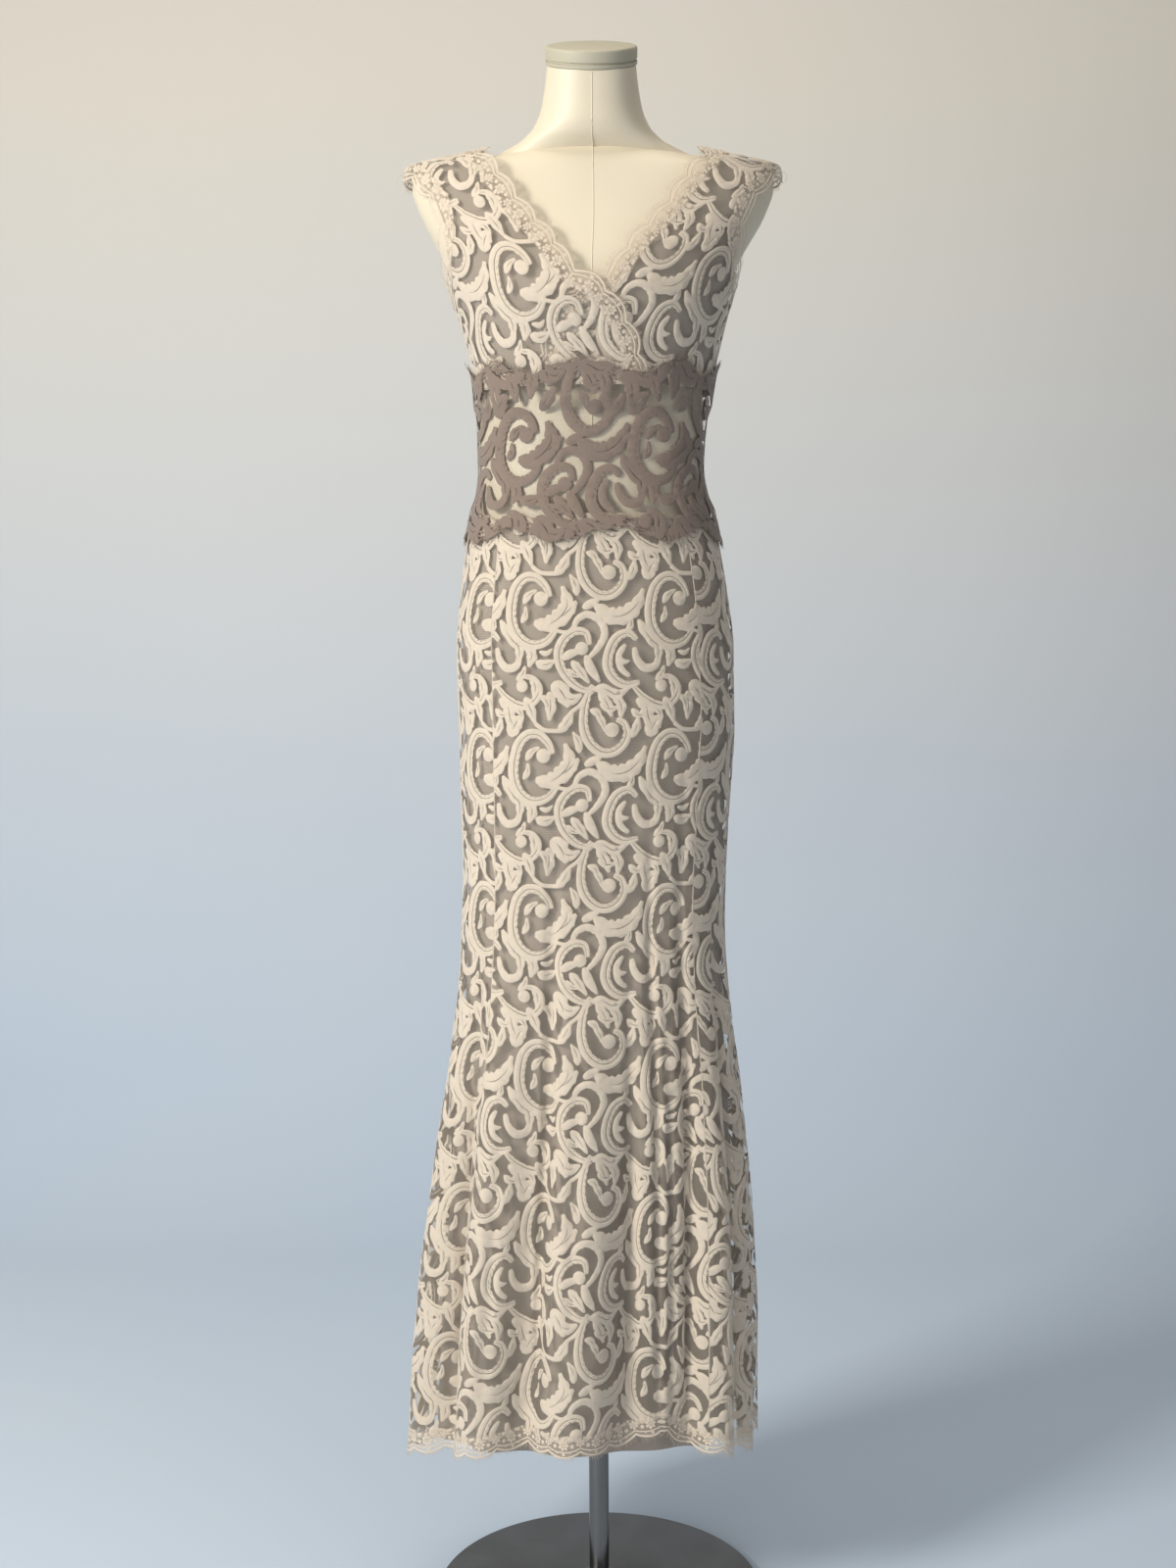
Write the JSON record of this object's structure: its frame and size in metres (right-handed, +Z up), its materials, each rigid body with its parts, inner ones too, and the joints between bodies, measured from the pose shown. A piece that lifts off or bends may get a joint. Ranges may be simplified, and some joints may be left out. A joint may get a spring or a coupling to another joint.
{
  "type": "lace maxi dress on a dress form",
  "caption": "Sleeveless lace maxi dress with a lapped V front, an unlined lace waist band and a fluted hem, on a limbless dress form with a pole and a round steel base.",
  "frame": {"origin": "the middle of the underside of the round base, where the stand rests on the floor", "axes": "+Z up along the pole, the dress's front faces -Y, +X is the wearer's left"},
  "size_m": [0.4157, 0.3682, 1.7226],
  "materials": {
    "lace": "matte corded lace",
    "edging": "matte scalloped lace trim",
    "midriff_lace": "matte darker lace",
    "lining": "plain woven, slight sheen",
    "form": "smooth satin",
    "steel": "brushed",
    "zip": "painted to match"
  },
  "bodies": {
    "dress_and_form": {"bodice_front_right": "lace", "bodice_front_left": "lace", "bodice_back_left": "lace", "bodice_back_right": "lace", "skirt_front": "lace", "skirt_side_front_left": "lace", "skirt_side_front_right": "lace", "skirt_back_left": "lace", "skirt_back_right": "lace", "neck_edging_right": "edging", "neck_edging_left": "edging", "armhole_edging_right": "edging", "armhole_edging_left": "edging", "hem_edging": "edging", "waist_band_front": "midriff_lace", "waist_band_back_left": "midriff_lace", "waist_band_back_right": "midriff_lace", "bodice_lining_front": "lining", "bodice_lining_back": "lining", "skirt_lining_front": "lining", "skirt_lining_back": "lining", "form_torso": "form", "form_neck_cap": "form", "stand_base": "steel", "stand_pole": "steel", "zip_slider": "zip"},
    "zip_pull_tab": {"zip_pull": "zip"}
  },
  "joints": [
    {"name": "zip_pull_hinge", "type": "hinge", "parent": "dress_and_form", "child": "zip_pull_tab", "pos_m": [0.001, 0.09076, 1.57103], "axis": [1, 0, 0], "range_deg": [0, 150]}
  ]
}
